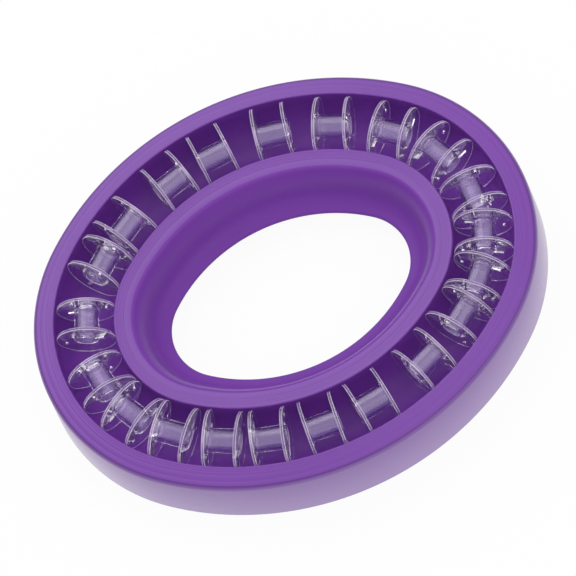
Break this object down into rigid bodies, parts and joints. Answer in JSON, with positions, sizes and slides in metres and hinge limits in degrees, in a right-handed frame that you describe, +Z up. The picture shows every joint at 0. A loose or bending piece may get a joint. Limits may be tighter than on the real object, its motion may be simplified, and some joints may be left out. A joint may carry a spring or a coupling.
{
  "type": "bobbin box",
  "caption": "Soft oval ring with one deep round-bottomed groove that holds loose clear sewing-machine bobbins on edge.",
  "frame": {"origin": "on the standing surface, under the middle of the central hole", "axes": "+X along the long axis of the oval, +Z up out of the groove"},
  "size_m": [0.178, 0.1472, 0.0313],
  "materials": {
    "ring": "satin",
    "frosted_tube": "clear",
    "clear_flange": "clear"
  },
  "bodies": {
    "ring": {"ring": "ring"},
    "bobbin_01": {"bobbin_01_core": "clear_flange", "bobbin_01_cap": "frosted_tube"},
    "bobbin_02": {"bobbin_02_core": "clear_flange", "bobbin_02_cap": "frosted_tube"},
    "bobbin_03": {"bobbin_03_core": "clear_flange", "bobbin_03_cap": "frosted_tube"},
    "bobbin_04": {"bobbin_04_core": "clear_flange", "bobbin_04_cap": "frosted_tube"},
    "bobbin_05": {"bobbin_05_core": "clear_flange", "bobbin_05_cap": "frosted_tube"},
    "bobbin_06": {"bobbin_06_core": "clear_flange", "bobbin_06_cap": "frosted_tube"},
    "bobbin_07": {"bobbin_07_core": "clear_flange", "bobbin_07_cap": "frosted_tube"},
    "bobbin_08": {"bobbin_08_core": "clear_flange", "bobbin_08_cap": "frosted_tube"},
    "bobbin_09": {"bobbin_09_core": "clear_flange", "bobbin_09_cap": "frosted_tube"},
    "bobbin_10": {"bobbin_10_core": "clear_flange", "bobbin_10_cap": "frosted_tube"},
    "bobbin_11": {"bobbin_11_core": "clear_flange", "bobbin_11_cap": "frosted_tube"},
    "bobbin_12": {"bobbin_12_core": "clear_flange", "bobbin_12_cap": "frosted_tube"},
    "bobbin_13": {"bobbin_13_core": "clear_flange", "bobbin_13_cap": "frosted_tube"},
    "bobbin_14": {"bobbin_14_core": "clear_flange", "bobbin_14_cap": "frosted_tube"},
    "bobbin_15": {"bobbin_15_core": "clear_flange", "bobbin_15_cap": "frosted_tube"},
    "bobbin_16": {"bobbin_16_core": "clear_flange", "bobbin_16_cap": "frosted_tube"},
    "bobbin_17": {"bobbin_17_core": "clear_flange", "bobbin_17_cap": "frosted_tube"},
    "bobbin_18": {"bobbin_18_core": "clear_flange", "bobbin_18_cap": "frosted_tube"},
    "bobbin_19": {"bobbin_19_core": "clear_flange", "bobbin_19_cap": "frosted_tube"},
    "bobbin_20": {"bobbin_20_core": "clear_flange", "bobbin_20_cap": "frosted_tube"},
    "bobbin_21": {"bobbin_21_core": "clear_flange", "bobbin_21_cap": "frosted_tube"}
  },
  "joints": [
    {"name": "bobbin_01_lift", "type": "slide", "parent": "ring", "child": "bobbin_01", "axis": [0, 0, 1], "range_m": [0, 0.025]},
    {"name": "bobbin_02_lift", "type": "slide", "parent": "ring", "child": "bobbin_02", "axis": [0, 0, 1], "range_m": [0, 0.025]},
    {"name": "bobbin_03_lift", "type": "slide", "parent": "ring", "child": "bobbin_03", "axis": [0, 0, 1], "range_m": [0, 0.025]},
    {"name": "bobbin_04_lift", "type": "slide", "parent": "ring", "child": "bobbin_04", "axis": [0, 0, 1], "range_m": [0, 0.025]},
    {"name": "bobbin_05_lift", "type": "slide", "parent": "ring", "child": "bobbin_05", "axis": [0, 0, 1], "range_m": [0, 0.025]},
    {"name": "bobbin_06_lift", "type": "slide", "parent": "ring", "child": "bobbin_06", "axis": [0, 0, 1], "range_m": [0, 0.025]},
    {"name": "bobbin_07_lift", "type": "slide", "parent": "ring", "child": "bobbin_07", "axis": [0, 0, 1], "range_m": [0, 0.025]},
    {"name": "bobbin_08_lift", "type": "slide", "parent": "ring", "child": "bobbin_08", "axis": [0, 0, 1], "range_m": [0, 0.025]},
    {"name": "bobbin_09_lift", "type": "slide", "parent": "ring", "child": "bobbin_09", "axis": [0, 0, 1], "range_m": [0, 0.025]},
    {"name": "bobbin_10_lift", "type": "slide", "parent": "ring", "child": "bobbin_10", "axis": [0, 0, 1], "range_m": [0, 0.025]},
    {"name": "bobbin_11_lift", "type": "slide", "parent": "ring", "child": "bobbin_11", "axis": [0, 0, 1], "range_m": [0, 0.025]},
    {"name": "bobbin_12_lift", "type": "slide", "parent": "ring", "child": "bobbin_12", "axis": [0, 0, 1], "range_m": [0, 0.025]},
    {"name": "bobbin_13_lift", "type": "slide", "parent": "ring", "child": "bobbin_13", "axis": [0, 0, 1], "range_m": [0, 0.025]},
    {"name": "bobbin_14_lift", "type": "slide", "parent": "ring", "child": "bobbin_14", "axis": [0, 0, 1], "range_m": [0, 0.025]},
    {"name": "bobbin_15_lift", "type": "slide", "parent": "ring", "child": "bobbin_15", "axis": [0, 0, 1], "range_m": [0, 0.025]},
    {"name": "bobbin_16_lift", "type": "slide", "parent": "ring", "child": "bobbin_16", "axis": [0, 0, 1], "range_m": [0, 0.025]},
    {"name": "bobbin_17_lift", "type": "slide", "parent": "ring", "child": "bobbin_17", "axis": [0, 0, 1], "range_m": [0, 0.025]},
    {"name": "bobbin_18_lift", "type": "slide", "parent": "ring", "child": "bobbin_18", "axis": [0, 0, 1], "range_m": [0, 0.025]},
    {"name": "bobbin_19_lift", "type": "slide", "parent": "ring", "child": "bobbin_19", "axis": [0, 0, 1], "range_m": [0, 0.025]},
    {"name": "bobbin_20_lift", "type": "slide", "parent": "ring", "child": "bobbin_20", "axis": [0, 0, 1], "range_m": [0, 0.025]},
    {"name": "bobbin_21_lift", "type": "slide", "parent": "ring", "child": "bobbin_21", "axis": [0, 0, 1], "range_m": [0, 0.025]}
  ]
}
